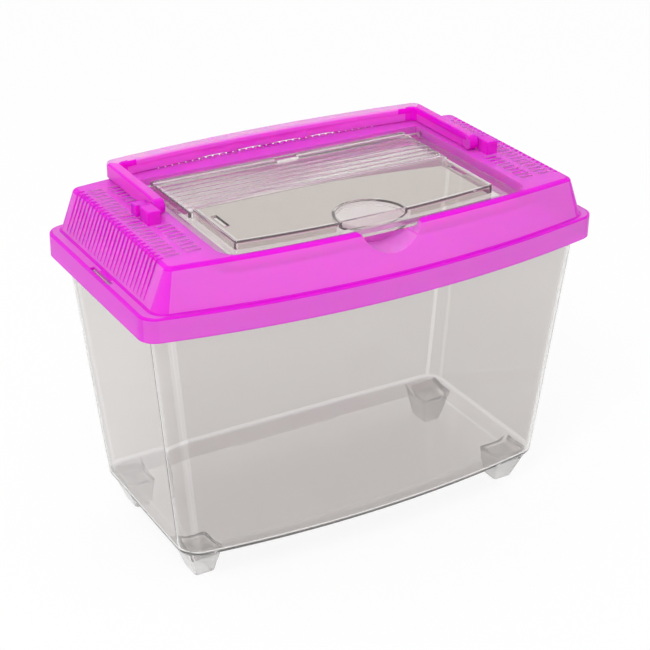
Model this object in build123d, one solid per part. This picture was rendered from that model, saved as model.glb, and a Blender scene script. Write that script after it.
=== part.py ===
"""Plastic pet keeper: a clear moulded tank, a tinted press-on lid, a clear hinged hatch and a folding handle.

Millimetres, +Z up, +X along the long side, -Y is the front. The origin is at the middle of the base, on
the plane that the four feet stand on. Every node is one moulding and is written to parts/NODE.step.
"""

import os
from math import sqrt

from build123d import *

os.makedirs("parts", exist_ok=True)

# ---- fits ----
SEAT_GAP = 0.05
PIN_GAP = 0.06
SLIDE_GAP = 0.3

# ---- walls ----
TANK_WALL = 2.2
LID_WALL = 2.0
HATCH_WALL = 1.8

# ---- outlines: half length, half depth at the corner, what the bow adds to it at the middle, corner radius ----
# ---- and, where the rear differs or meets one that does, its own depth at the corner and its bow ----
TANK_BASE = (126.0, 60.5, 11.0, 14.0, 59.0, 0.5)
TANK_BAND = (141.2, 66.0, 14.5, 15.0, 66.0, 14.5)
FLOOR_PANEL = (114.0, 43.0, 9.0, 12.0, 43.0, 0.5)
BAND = (150.0, 68.3, 17.07, 10.7)
DOME_BASE = (142.5, 67.2, 15.8, 9.0)
PLATEAU = (133.4, 63.8, 9.53, 3.5)

# ---- heights above the plane that the feet stand on ----
FLOOR_TOP_Z = 18.4
TANK_BASE_Z = FLOOR_TOP_Z + 3.0
BAND_LOW_Z = 171.0
RIM_STEP_Z = BAND_LOW_Z + 4.4
LEDGE_Z = BAND_LOW_Z + 14.7
PLATEAU_Z = LEDGE_Z + 24.9

# ---- feet ----
FOOT_BOTTOM = (108.5, 42.0, 13.0, 16.0)
FOOT_TOP = (111.0, 44.5, 24.0, 25.0)
FOOT_ROUND = 2.0
FOOT_WALL = 2.4

# ---- hatch opening in the lid ----
OPENING_HALF = 100.6
OPENING_REAR = 55.6
OPENING_CORNER = 12.0
RIM_WIDTH = 2.3
SHELF_WIDTH = 9.6
SHELF_Z = PLATEAU_Z - 7.1
SHELF_HALF = OPENING_HALF - SHELF_WIDTH
SHELF_FRONT = 58.5
SHELF_REAR = OPENING_REAR - SHELF_WIDTH

# ---- finger recess in the front of the lid ----
NOTCH_R = 21.5
NOTCH_Z = PLATEAU_Z + 7.4
NOTCH_BACK = -60.0

# ---- vents: the side rows share the land between the hatch opening and the edge of the plateau ----
VENT_WIDTH = 2.3
SIDE_PITCH = 4.64
SIDE_FIRST_Y = -50.5
SIDE_COUNT = 23
VENT_LAND = (OPENING_HALF + 5.5, PLATEAU[0] - 5.6)
OUTER_ROW_LENGTH = 0.4 * (VENT_LAND[1] - VENT_LAND[0])
INNER_ROW_LENGTH = 0.42 * (VENT_LAND[1] - VENT_LAND[0])
OUTER_ROW = (VENT_LAND[1] - OUTER_ROW_LENGTH, VENT_LAND[1])
INNER_ROW = (VENT_LAND[0], VENT_LAND[0] + INNER_ROW_LENGTH)
COMB_PITCH = 4.72
COMB_COUNT = 33
COMB_FRONT_Y = PLATEAU[1] + 3.4
SLOPE_PITCH = 4.4
SLOPE_COUNT = 25
SLOPE_GROOVE = (2.2, 0.8)
LINE_GROOVE = (0.7, 0.4)

# ---- catches on the two short sides ----
CATCH_SLOT = (BAND[0] - 4.7, BAND[0] - 1.8)
CATCH_Y = (-18.6, 6.5)
CATCH_TIP = BAND[0] - 2.45
CATCH_HEIGHT = 2.5

# ---- hatch ----
HATCH_HALF = OPENING_HALF - SLIDE_GAP
HATCH_FRONT = 66.0
HATCH_REAR = OPENING_REAR - 1.6
FLANGE_TOP_Z = SHELF_Z + HATCH_WALL
WINDOW_HALF = HATCH_HALF - 14.3
WINDOW_TOP_Z = PLATEAU_Z - 0.2
WINDOW_FRONT = (50.0, 6.0)
RIB_HALF = HATCH_HALF - 11.6
RIB_FIRST_Y = 4.3
RIB_PITCH = 5.7
RIB_COUNT = 9
RIB_RISE = 1.5
HATCH_AXIS = (HATCH_REAR - 3.5, SHELF_Z + 2.5)
HATCH_PIN_R = 2.0
HATCH_PIN_END = HATCH_HALF + 3.6
THUMB_R = 21.0
THUMB_Y = -52.5
THUMB_WALL = 3.5
THUMB_DEPTH = 8.5
SIDE_SLOT = (WINDOW_HALF - 7.8, WINDOW_HALF - 4.2, -29.0, -12.5)
REAR_SLOT = (7.5, 45.2, 49.2)

# ---- handle ----
HANDLE_AXIS = (4.0, PLATEAU_Z + 4.9)
HANDLE_PIN_R = 2.75
ARM_X = (OPENING_HALF + 2.9, OPENING_HALF + 9.4)
HANDLE_PIN_END = ARM_X[1] + 6.5
ARM_HUB_R = 4.5
HANDLE_Z = (PLATEAU_Z + 0.6, PLATEAU_Z + 10.1)
BAR_BACK = 77.0
BAR_BACK_R = 931.0
BAR_DEPTH = 8.5
BAR_CORNER = 6.0
SCALLOP_PITCH = 26.0
SCALLOP_COUNT = 4
SCALLOP_DEPTH = 1.6
SCALLOP_TOP_Z = HANDLE_Z[1] - 3.9

# ---- bearings for the handle's pins ----
BEARING_LOW_X = ARM_X[1] + 0.4
POST = (BEARING_LOW_X, BEARING_LOW_X + 8.0, HANDLE_AXIS[0] - 13.0, HANDLE_AXIS[0] - 1.6)
POST_TOP_Z = HANDLE_AXIS[1] + 3.0
EAR = (BEARING_LOW_X, BEARING_LOW_X + 8.6, HANDLE_AXIS[0] + 1.6, HANDLE_AXIS[0] + 9.0)
EAR_TOP_Z = HANDLE_AXIS[1] + 1.7
BEARING_HOLE = (BEARING_LOW_X, BEARING_LOW_X + 7.6, HANDLE_AXIS[0] - 3.8, HANDLE_AXIS[0] + 3.8)


def inset_bow(half, corner, bow, by):
    """The corner depth and the bow of a long side that is moved inwards, parallel to itself."""
    big = (half * half + bow * bow) / (2 * bow)
    small = big - by
    new_half = half - by
    new_bow = small - sqrt(small * small - new_half * new_half)
    return corner + bow - by - new_bow, new_bow


def inset(outline, by):
    """The outline moved inwards by a distance, with its bows kept parallel."""
    half, corner, bow, radius = outline[:4]
    moved = (half - by, *inset_bow(half, corner, bow, by), max(radius - by, 0.8))
    if len(outline) > 4:
        moved += inset_bow(half, outline[4], outline[5], by)
    return moved


def between(low, high, share):
    """The outline part of the way from one to another."""
    return tuple(a + (b - a) * share for a, b in zip(low, high))


def long_side(half, corner, bow, radius):
    """A bowed front edge: where its corner arc starts, that arc's middle and end, and the edge's own middle."""
    big = (half * half + bow * bow) / (2 * bow)
    centre_y = big - corner - bow
    knee_x = half - radius
    knee_y = centre_y - sqrt((big - radius) ** 2 - knee_x**2)
    touch_x = knee_x * big / (big - radius)
    touch_y = centre_y + (knee_y - centre_y) * big / (big - radius)
    way_x = (touch_x - knee_x) / radius + 1
    way_y = (touch_y - knee_y) / radius
    way = sqrt(way_x**2 + way_y**2)
    return (touch_x, touch_y), (knee_x + radius * way_x / way, knee_y + radius * way_y / way), knee_y, -corner - bow


def outline_face(outline, z):
    """A rounded rectangle whose long sides bow outwards on circular arcs, at a height."""
    half, corner, bow, radius = outline[:4]
    rear_corner, rear_bow = outline[4:] if len(outline) > 4 else (corner, bow)
    (touch_x, touch_y), (mid_x, mid_y), knee_y, middle_y = long_side(half, corner, bow, radius)
    (back_x, back_y), (turn_x, turn_y), end_y, rear_y = long_side(half, rear_corner, rear_bow, radius)
    edges = [
        ThreePointArc((-touch_x, touch_y), (0, middle_y), (touch_x, touch_y)),
        ThreePointArc((touch_x, touch_y), (mid_x, mid_y), (half, knee_y)),
        Line((half, knee_y), (half, -end_y)),
        ThreePointArc((half, -end_y), (turn_x, -turn_y), (back_x, -back_y)),
        ThreePointArc((back_x, -back_y), (0, -rear_y), (-back_x, -back_y)),
        ThreePointArc((-back_x, -back_y), (-turn_x, -turn_y), (-half, -end_y)),
        Line((-half, -end_y), (-half, knee_y)),
        ThreePointArc((-half, knee_y), (-mid_x, mid_y), (-touch_x, touch_y)),
    ]
    return Pos(0, 0, z) * make_face(edges)


def hull(*stations):
    """A body through outlines at heights, with straight walls between them."""
    return loft([outline_face(outline, z) for outline, z in stations], ruled=True)


def block(x, y, z):
    """A box from its low and high ends along each axis."""
    box = Box(x[1] - x[0], y[1] - y[0], z[1] - z[0])
    return Pos((x[0] + x[1]) / 2, (y[0] + y[1]) / 2, (z[0] + z[1]) / 2) * box


def rod(y, z, radius, x):
    """A round bar along X between two places."""
    return Pos((x[0] + x[1]) / 2, y, z) * Rot(0, 90, 0) * Cylinder(radius, x[1] - x[0])


def both_sides(shape):
    """A piece and its mirror image on the other short side."""
    return [shape, mirror(shape, Plane.YZ)]


def tapered_post(bottom, top, z_bottom, z_top, shrink):
    """A four-sided post that widens upwards, standing at one corner of the base."""
    faces = []
    for (x, y, size_x, size_y), z in ((bottom, z_bottom), (top, z_top)):
        rectangle = RectangleRounded(size_x - 2 * shrink, size_y - 2 * shrink, FOOT_ROUND)
        faces.append(Pos(x, y, z) * rectangle)
    return loft(faces, ruled=True)


def at_corners(shape):
    """A piece repeated at the four corners of the base."""
    front = both_sides(mirror(shape, Plane.XZ))
    return both_sides(shape) + front


def make_tank():
    """The clear tank: tapered walls, bowed at the front, a sunk floor panel, hollow feet and a stepped rim.

    The rear wall is straight along the base and bows at the rim, where the lid does.
    """
    share = (RIM_STEP_Z + TANK_WALL - TANK_BASE_Z) / (BAND_LOW_Z - TANK_BASE_Z)
    wall_top = between(TANK_BASE, TANK_BAND, share)
    wall_top_z = RIM_STEP_Z + TANK_WALL
    rim = inset(BAND, LID_WALL + SLIDE_GAP * 2)
    rim_top_z = LEDGE_Z - LID_WALL - SEAT_GAP
    floor_low_z = FLOOR_TOP_Z - TANK_WALL
    body = hull((FLOOR_PANEL, floor_low_z), (TANK_BASE, TANK_BASE_Z), (wall_top, wall_top_z))
    body += hull((rim, RIM_STEP_Z), (rim, rim_top_z))
    foot = tapered_post(FOOT_BOTTOM, FOOT_TOP, 0, TANK_BASE_Z, 0)
    foot &= hull((TANK_BASE, 0), (TANK_BASE, TANK_BASE_Z))
    foot -= tapered_post(FOOT_BOTTOM, FOOT_TOP, -1, TANK_BASE_Z + 1, FOOT_WALL)
    body += at_corners(foot)
    inner_base_z = TANK_BASE_Z + TANK_WALL / 2
    body -= hull(
        (inset(FLOOR_PANEL, TANK_WALL / 2), FLOOR_TOP_Z),
        (inset(TANK_BASE, TANK_WALL), inner_base_z),
        (inset(wall_top, TANK_WALL), wall_top_z),
    )
    rim_inner = inset(rim, TANK_WALL)
    body -= hull((rim_inner, wall_top_z), (rim_inner, rim_top_z + 1))
    return body


def front_arc_y(depth, x=0.0):
    """Where the plateau's front arc, moved inwards, crosses a place along the long side."""
    half, corner, bow, _ = PLATEAU
    big = (half * half + bow * bow) / (2 * bow)
    small = big - depth
    return big - corner - bow - sqrt(small * small - x * x)


def bow_front_face(half, front_inset, rear, corner, z):
    """A plate outline whose front edge follows the plateau's bow and whose other edges are straight."""
    side_y = front_arc_y(front_inset, half)
    middle_y = front_arc_y(front_inset)
    edges = [
        ThreePointArc((-half, side_y), (0, middle_y), (half, side_y)),
        Line((half, side_y), (half, rear)),
        Line((half, rear), (-half, rear)),
        Line((-half, rear), (-half, side_y)),
    ]
    face = make_face(edges)
    if corner:
        face = fillet(face.vertices().sort_by(Axis.Y)[:2], corner)
    return Pos(0, 0, z) * face


def bow_front_plate(half, front_inset, rear, corner, z_low, z_high):
    """A plate with the plateau's bow along its front edge."""
    return extrude(bow_front_face(half, front_inset, rear, corner, z_low), z_high - z_low)


def side_vents():
    """Slots through the plateau beside the hatch, in two rows, leaving out those under a bearing."""
    cuts = []
    clear = (POST[2] - 2, EAR[3] + 2)
    for row_number, (x_low, x_high) in enumerate((OUTER_ROW, INNER_ROW)):
        for number in range(SIDE_COUNT):
            y = SIDE_FIRST_Y + number * SIDE_PITCH
            blocked = row_number == 1 and clear[0] < y < clear[1]
            if not blocked:
                slot = block((x_low, x_high), (y, y + VENT_WIDTH), (PLATEAU_Z - LID_WALL - 1, PLATEAU_Z + 1))
                cuts += both_sides(slot)
    return cuts


def comb_vents():
    """Slots through the back edge of the plateau, under the handle's bar, from a straight line backwards."""
    cuts = []
    for number in range(COMB_COUNT):
        x = (number - (COMB_COUNT - 1) / 2) * COMB_PITCH
        edge_y = -front_arc_y(0, x)
        cuts.append(
            block(
                (x - VENT_WIDTH / 2, x + VENT_WIDTH / 2),
                (COMB_FRONT_Y, edge_y + 2),
                (PLATEAU_Z - LID_WALL - 1, PLATEAU_Z + 1),
            )
        )
    return cuts


def slope_grooves():
    """Shallow grooves down the short sides of the dome, which turn over its top edge."""
    cuts = []
    width, depth = SLOPE_GROOVE
    run = DOME_BASE[0] - PLATEAU[0]
    rise = PLATEAU_Z - LEDGE_Z
    length = sqrt(run**2 + rise**2)
    plane = Plane(
        origin=((DOME_BASE[0] + PLATEAU[0]) / 2, 0, (LEDGE_Z + PLATEAU_Z) / 2),
        x_dir=(0, 1, 0),
        z_dir=(rise / length, 0, run / length),
    )
    line_x = OUTER_ROW[1] + 1.7
    for number in range(SLOPE_COUNT):
        y = (number - (SLOPE_COUNT - 1) / 2) * SLOPE_PITCH + 1.5
        down = plane * Pos(y, 1.2, 0) * Box(width, length - 3.5, 2 * depth)
        over = block((line_x, PLATEAU[0] + 1), (y - width / 2, y + width / 2), (PLATEAU_Z - depth, PLATEAU_Z + 1))
        cuts += both_sides(down)
        cuts += both_sides(over)
    return cuts


def plateau_lines():
    """Fine grooves along the vent rows on the plateau."""
    width, depth = LINE_GROOVE
    cuts = []
    for x in (OUTER_ROW[1] + 1.3, (OUTER_ROW[0] + INNER_ROW[1]) / 2):
        line = block((x - width / 2, x + width / 2), (-50, 53), (PLATEAU_Z - depth, PLATEAU_Z + 1))
        cuts += both_sides(line)
    return cuts


def bearing():
    """A post and an ear that hold a handle pin between them, with a hole under it."""
    axis_y, axis_z = HANDLE_AXIS
    base_z = PLATEAU_Z - LID_WALL / 2
    post = block(POST[:2], POST[2:], (base_z, POST_TOP_Z))
    ear = block(EAR[:2], EAR[2:], (base_z, EAR_TOP_Z))
    pin_space = rod(axis_y, axis_z, HANDLE_PIN_R + PIN_GAP, (POST[0] - 1, EAR[1] + 1))
    return [post - pin_space, ear - pin_space]


def make_lid():
    """The tinted lid: a skirt, a vented dome, a sunk opening with a shelf, catches, bearings and hinge sockets."""
    ledge_low_z = LEDGE_Z - LID_WALL
    shoulder_z = PLATEAU_Z - 1.4
    shoulder_share = (shoulder_z - LEDGE_Z) / (PLATEAU_Z - LEDGE_Z)
    shoulder = between(DOME_BASE, PLATEAU, shoulder_share)
    body = hull((BAND, BAND_LOW_Z), (BAND, LEDGE_Z))
    body += hull((DOME_BASE, LEDGE_Z), (shoulder, shoulder_z), (inset(PLATEAU, 0.9), PLATEAU_Z))
    under = hull((inset(BAND, LID_WALL), BAND_LOW_Z - 1), (inset(BAND, LID_WALL), ledge_low_z))
    roof_z = PLATEAU_Z - LID_WALL
    roof_share = (roof_z - LEDGE_Z) / (PLATEAU_Z - LEDGE_Z)
    roof = between(DOME_BASE, PLATEAU, roof_share)
    cavity = hull((inset(DOME_BASE, LID_WALL), ledge_low_z), (inset(roof, LID_WALL), roof_z))
    shelf_low_z = SHELF_Z - LID_WALL
    well_half = OPENING_HALF + LID_WALL
    well_front = front_arc_y(-4)
    well = block((-well_half, well_half), (well_front, OPENING_REAR + LID_WALL), (shelf_low_z, PLATEAU_Z))
    pocket_wall = Pos(0, NOTCH_BACK - LID_WALL, NOTCH_Z) * Rot(90, 0, 0) * Cylinder(
        NOTCH_R + LID_WALL, 60, align=(Align.CENTER, Align.CENTER, Align.MIN)
    )
    pocket_wall = Pos(0, 2 * LID_WALL, 0) * pocket_wall
    cavity -= well
    cavity -= pocket_wall
    body -= under
    body -= cavity
    body -= bow_front_plate(OPENING_HALF, RIM_WIDTH, OPENING_REAR, OPENING_CORNER, SHELF_Z, PLATEAU_Z + 1)
    shelf_inset = -front_arc_y(0) - SHELF_FRONT
    body -= bow_front_plate(SHELF_HALF, shelf_inset, OPENING_REAR, 0, shelf_low_z - 1, SHELF_Z + 1) - pocket_wall
    body -= block((-OPENING_HALF, OPENING_HALF), (SHELF_REAR, OPENING_REAR), (shelf_low_z - 1, SHELF_Z + 1))
    notch = Pos(0, NOTCH_BACK, NOTCH_Z) * Rot(90, 0, 0) * Cylinder(
        NOTCH_R, 60, align=(Align.CENTER, Align.CENTER, Align.MIN)
    )
    body -= notch
    body -= side_vents()
    body -= comb_vents()
    body -= slope_grooves()
    body -= plateau_lines()
    socket_y, socket_z = HATCH_AXIS
    boss_end = HATCH_PIN_END + LID_WALL
    body += both_sides(rod(socket_y, socket_z, HATCH_PIN_R + LID_WALL, (OPENING_HALF, boss_end)))
    socket = rod(socket_y, socket_z, HATCH_PIN_R + PIN_GAP, (OPENING_HALF - 1, HATCH_PIN_END + SLIDE_GAP))
    body -= both_sides(socket)
    for piece in bearing():
        body += both_sides(piece)
    hole = block(BEARING_HOLE[:2], BEARING_HOLE[2:], (roof_z - 1, PLATEAU_Z + 0.2))
    body -= both_sides(hole)
    slot = block(CATCH_SLOT, CATCH_Y, (ledge_low_z - 1, LEDGE_Z + 1))
    body -= both_sides(slot)
    catch_top = RIM_STEP_Z - SLIDE_GAP
    catch = block(
        (CATCH_TIP, BAND[0] - LID_WALL / 2), (CATCH_Y[0] + 2, CATCH_Y[1] - 2), (catch_top - CATCH_HEIGHT, catch_top)
    )
    body += both_sides(catch)
    return body


def thumb_shape(grow):
    """The round-backed hollow for a thumb, or its outer wall when grown."""
    radius = THUMB_R + grow
    cap_depth = THUMB_DEPTH - THUMB_WALL + grow
    ball_r = (radius**2 + cap_depth**2) / (2 * cap_depth)
    wall_z = WINDOW_TOP_Z - THUMB_WALL
    drum = Pos(0, THUMB_Y, wall_z) * Cylinder(radius, THUMB_WALL + 5, align=(Align.CENTER, Align.CENTER, Align.MIN))
    ball = Pos(0, THUMB_Y, wall_z - cap_depth + ball_r) * Sphere(ball_r)
    ball &= Pos(0, THUMB_Y, wall_z) * Cylinder(radius, 40, align=(Align.CENTER, Align.CENTER, Align.MAX))
    return drum + ball


def window_face(half, front, z):
    """The raised window's outline: straight sides and back, bowed front."""
    corner_y = -front[0]
    edges = [
        ThreePointArc((-half, corner_y), (0, corner_y - front[1]), (half, corner_y)),
        Line((half, corner_y), (half, RIB_FIRST_Y)),
        Line((half, RIB_FIRST_Y), (-half, RIB_FIRST_Y)),
        Line((-half, RIB_FIRST_Y), (-half, corner_y)),
    ]
    return Pos(0, 0, z) * make_face(edges)


def make_hatch():
    """The clear hatch: a flange on the lid's shelf, a raised window, a ribbed rear, a thumb hollow and pins."""
    low_z = SHELF_Z + SEAT_GAP
    flange_inset = -front_arc_y(0) - HATCH_FRONT
    flange_corner = OPENING_CORNER - 2
    body = bow_front_plate(HATCH_HALF, flange_inset, HATCH_REAR, flange_corner, low_z, FLANGE_TOP_Z)
    body += extrude(window_face(WINDOW_HALF, WINDOW_FRONT, low_z), WINDOW_TOP_Z - low_z)
    rib_low = RIB_FIRST_Y - RIB_PITCH / 2
    rib_rear = rib_low + RIB_COUNT * RIB_PITCH
    valley_z = PLATEAU_Z - RIB_RISE
    body += block((-RIB_HALF, RIB_HALF), (rib_low, rib_rear), (low_z, valley_z))
    rib_half_width = RIB_PITCH / 2
    rib_r = (rib_half_width**2 + RIB_RISE**2) / (2 * RIB_RISE)
    for number in range(RIB_COUNT):
        y = RIB_FIRST_Y + number * RIB_PITCH
        rib = rod(y, PLATEAU_Z - rib_r, rib_r, (-RIB_HALF, RIB_HALF))
        body += rib & block((-RIB_HALF, RIB_HALF), (y - rib_half_width, y + rib_half_width), (valley_z - 1, PLATEAU_Z))
    inner_half = WINDOW_HALF - HATCH_WALL
    inner_front = (WINDOW_FRONT[0] - HATCH_WALL, WINDOW_FRONT[1])
    hollow = extrude(window_face(inner_half, inner_front, low_z - 1), WINDOW_TOP_Z - HATCH_WALL - low_z + 1)
    hollow += block(
        (-RIB_HALF + HATCH_WALL, RIB_HALF - HATCH_WALL),
        (rib_low, rib_rear - HATCH_WALL),
        (low_z - 1, valley_z - HATCH_WALL + 0.4),
    )
    body -= hollow
    front_inner = THUMB_Y - 1.3
    behind_wall = block((-40, 40), (front_inner - HATCH_WALL, 0), (150, 260))
    body += (thumb_shape(HATCH_WALL) & behind_wall) & block((-40, 40), (-60, 0), (150, WINDOW_TOP_Z))
    body -= thumb_shape(0) & block((-40, 40), (front_inner, 0), (150, 260))
    body -= both_sides(block(SIDE_SLOT[:2], SIDE_SLOT[2:], (low_z - 1, WINDOW_TOP_Z + 1)))
    body -= block((-REAR_SLOT[0], REAR_SLOT[0]), REAR_SLOT[1:], (low_z - 1, PLATEAU_Z + 1))
    axis_y, axis_z = HATCH_AXIS
    body += both_sides(rod(axis_y, axis_z, HATCH_PIN_R, (WINDOW_HALF + 2, HATCH_PIN_END)))
    return body


def make_handle():
    """The tinted handle: two arms, a bowed bar with finger scallops and two outward pins."""
    z_low, z_high = HANDLE_Z
    height = z_high - z_low
    axis_y, axis_z = HANDLE_AXIS
    arm_out = ARM_X[1]
    back_drop = BAR_BACK_R - sqrt(BAR_BACK_R**2 - arm_out**2)
    edges = [
        Line((-arm_out, axis_y), (arm_out, axis_y)),
        Line((arm_out, axis_y), (arm_out, BAR_BACK - back_drop)),
        ThreePointArc((arm_out, BAR_BACK - back_drop), (0, BAR_BACK), (-arm_out, BAR_BACK - back_drop)),
        Line((-arm_out, BAR_BACK - back_drop), (-arm_out, axis_y)),
    ]
    face = make_face(edges)
    face = fillet(face.vertices().sort_by(Axis.Y)[-2:], BAR_CORNER)
    arm_in = ARM_X[0]
    inner_r = BAR_BACK_R - BAR_DEPTH
    inner_drop = inner_r - sqrt(inner_r**2 - arm_in**2)
    front_y = BAR_BACK - BAR_DEPTH
    inner_edges = [
        Line((-arm_in, axis_y - 1), (arm_in, axis_y - 1)),
        Line((arm_in, axis_y - 1), (arm_in, front_y - inner_drop)),
        ThreePointArc((arm_in, front_y - inner_drop), (0, front_y), (-arm_in, front_y - inner_drop)),
        Line((-arm_in, front_y - inner_drop), (-arm_in, axis_y - 1)),
    ]
    inner = make_face(inner_edges)
    inner = fillet(inner.vertices().sort_by(Axis.Y)[-2:], BAR_CORNER / 2)
    body = extrude(Pos(0, 0, z_low) * (face - inner), height)
    ramp = 7.0
    keep_top = [
        Line((axis_y, axis_z + ARM_HUB_R), (axis_y + ramp, z_high)),
        Line((axis_y + ramp, z_high), (axis_y, z_high + 1)),
        Line((axis_y, z_high + 1), (axis_y, axis_z + ARM_HUB_R)),
    ]
    wedge = make_face([Plane.YZ * edge for edge in keep_top])
    body -= extrude(wedge, arm_out + 1, both=True)
    hub = rod(axis_y, axis_z, ARM_HUB_R, ARM_X)
    pin = rod(axis_y, axis_z, HANDLE_PIN_R, (ARM_X[0] + 1, HANDLE_PIN_END))
    body += both_sides(hub)
    body += both_sides(pin)
    half_pitch = SCALLOP_PITCH / 2 - 0.6
    scallop_r = (half_pitch**2 + SCALLOP_DEPTH**2) / (2 * SCALLOP_DEPTH)
    for number in range(SCALLOP_COUNT):
        x = (number - (SCALLOP_COUNT - 1) / 2) * SCALLOP_PITCH
        face_y = front_y - (inner_r - sqrt(inner_r**2 - x * x))
        drum = Cylinder(scallop_r, SCALLOP_TOP_Z - z_low + 1, align=(Align.CENTER, Align.CENTER, Align.MIN))
        body -= Pos(x, face_y + SCALLOP_DEPTH - scallop_r, z_low - 1) * drum
    return body


NODES = {"tank": make_tank, "lid": make_lid, "hatch": make_hatch, "handle": make_handle}

for name, maker in NODES.items():
    shape = maker()
    print(name, "solids", len(shape.solids()), "volume", round(shape.volume), "box", shape.bounding_box())
    export_step(shape, f"parts/{name}.step")
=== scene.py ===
"""Looks of a plastic pet keeper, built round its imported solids.

The object is four mouldings: a clear tank, a tinted lid, a clear hatch that is hinged in the lid, and a
tinted handle that folds over it. Each is built here as one closed mesh from lofted outlines, with its vents,
grooves, ribs and hollows cut or added as real shapes. Lengths are in metres, in the frame of the solids:
+X along the long side, -Y the front, +Z up, and the feet stand on z = 0.
"""

import logging
import math
from collections.abc import Callable
from dataclasses import dataclass, field
from enum import Enum

import bmesh
import bpy
from mathutils import Matrix, Vector

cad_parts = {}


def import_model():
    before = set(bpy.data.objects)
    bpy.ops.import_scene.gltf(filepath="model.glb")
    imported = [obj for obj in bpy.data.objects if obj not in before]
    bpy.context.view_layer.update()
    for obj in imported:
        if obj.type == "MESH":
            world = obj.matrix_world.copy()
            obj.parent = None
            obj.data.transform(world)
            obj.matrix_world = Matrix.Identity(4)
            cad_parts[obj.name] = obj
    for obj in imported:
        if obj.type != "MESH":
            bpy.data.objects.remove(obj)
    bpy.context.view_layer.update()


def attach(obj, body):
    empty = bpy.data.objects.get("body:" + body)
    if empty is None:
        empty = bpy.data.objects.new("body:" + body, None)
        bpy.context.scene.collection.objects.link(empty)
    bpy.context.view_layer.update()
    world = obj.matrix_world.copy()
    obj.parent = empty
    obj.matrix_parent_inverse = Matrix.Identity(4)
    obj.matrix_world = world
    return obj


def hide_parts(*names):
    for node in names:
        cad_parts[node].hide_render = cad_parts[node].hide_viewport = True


log = logging.getLogger("pet_keeper")

MM = 0.001
STRAIGHT = 1.0e3


# ---- shared shapes ----


class Cut(Enum):
    """How one closed mesh is combined with another."""

    ADD = "UNION"
    TAKE = "DIFFERENCE"
    KEEP = "INTERSECT"


@dataclass(frozen=True)
class Outline:
    """A plan outline with bowed front and rear edges, straight sides and rounded corners.

    The front edge lies on a circle of radius front_arc that passes through (0, front), and the rear edge on
    one of radius rear_arc through (0, rear).
    """

    half: float
    front: float
    front_arc: float
    rear: float
    rear_arc: float
    front_round: float
    rear_round: float

    @staticmethod
    def bowed(
        half: float, corner: float, bow: float, radius: float, rear: tuple[float, float] | None = None
    ) -> "Outline":
        """A rounded rectangle whose long sides bow outwards.

        Args:
            half: half of the length.
            corner: half of the depth at the corners.
            bow: what the middle adds to that.
            radius: the corner radius.
            rear: the corner depth and the bow of the rear, where they differ from those of the front.

        Returns:
            The outline.
        """
        rear_corner, rear_bow = rear or (corner, bow)
        arc = (half * half + bow * bow) / (2 * bow)
        rear_arc = (half * half + rear_bow * rear_bow) / (2 * rear_bow)
        return Outline(half, -corner - bow, arc, rear_corner + rear_bow, rear_arc, radius, radius)

    def inset(self, by: float) -> "Outline":
        """The outline moved inwards by a distance, or outwards by a negative one."""
        least = 0.3 * MM
        return Outline(
            self.half - by,
            self.front + by,
            self.front_arc - by,
            self.rear - by,
            self.rear_arc - by,
            max(self.front_round - by, least),
            max(self.rear_round - by, least),
        )

    def loop(self, z: float, grain: "Grain | None" = None) -> list[Vector]:
        """The outline's points at a height, anticlockwise from above, starting at the front left corner.

        Args:
            z: the height.
            grain: how many steps each stretch takes.

        Returns:
            The points, as many for every outline of the same grain.
        """
        grain = grain or Grain()
        front = half_loop(self.half, -self.front, self.front_arc, self.front_round, grain)
        rear = half_loop(self.half, self.rear, self.rear_arc, self.rear_round, grain)
        side_low = front[-1]
        side_high = (-rear[0][0], -rear[0][1])
        side = [
            (
                side_low[0] + (side_high[0] - side_low[0]) * step / grain.side,
                side_low[1] + (side_high[1] - side_low[1]) * step / grain.side,
            )
            for step in range(1, grain.side)
        ]
        right = front + side
        rear_side = [(-x, -y) for x, y in rear]
        left = [(-x, y) for x, y in reversed(side)]
        return [Vector((x, y, z)) for x, y in right + rear_side + left]


@dataclass(frozen=True)
class Grain:
    """How many steps an outline takes along its bowed edges, corners and sides."""

    arc: int = 48
    corner: int = 8
    side: int = 8


def half_loop(half: float, reach: float, arc: float, radius: float, grain: Grain) -> list[tuple[float, float]]:
    """A bowed edge with its two rounded corners, from the left side to the right one, at the front.

    Args:
        half: half of the length.
        reach: how far the middle of the edge lies in front of the origin.
        arc: the radius of the bowed edge.
        radius: the corner radius.
        grain: how many steps each stretch takes.

    Returns:
        The points from (-half, ...) round to (half, ...).
    """
    centre_y = arc - reach
    knee_x = half - radius
    knee_y = centre_y - math.sqrt((arc - radius) ** 2 - knee_x**2)
    swing = math.asin(knee_x / (arc - radius))
    points = []
    for step in range(grain.corner):
        angle = math.pi + (math.pi / 2 - swing) * step / grain.corner
        points.append((-knee_x + radius * math.cos(angle), knee_y + radius * math.sin(angle)))
    for step in range(grain.arc + 1):
        angle = -math.pi / 2 - swing + 2 * swing * step / grain.arc
        points.append((arc * math.cos(angle), centre_y + arc * math.sin(angle)))
    for step in range(1, grain.corner + 1):
        angle = -math.pi / 2 + swing + (math.pi / 2 - swing) * step / grain.corner
        points.append((knee_x + radius * math.cos(angle), knee_y + radius * math.sin(angle)))
    return points


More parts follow.
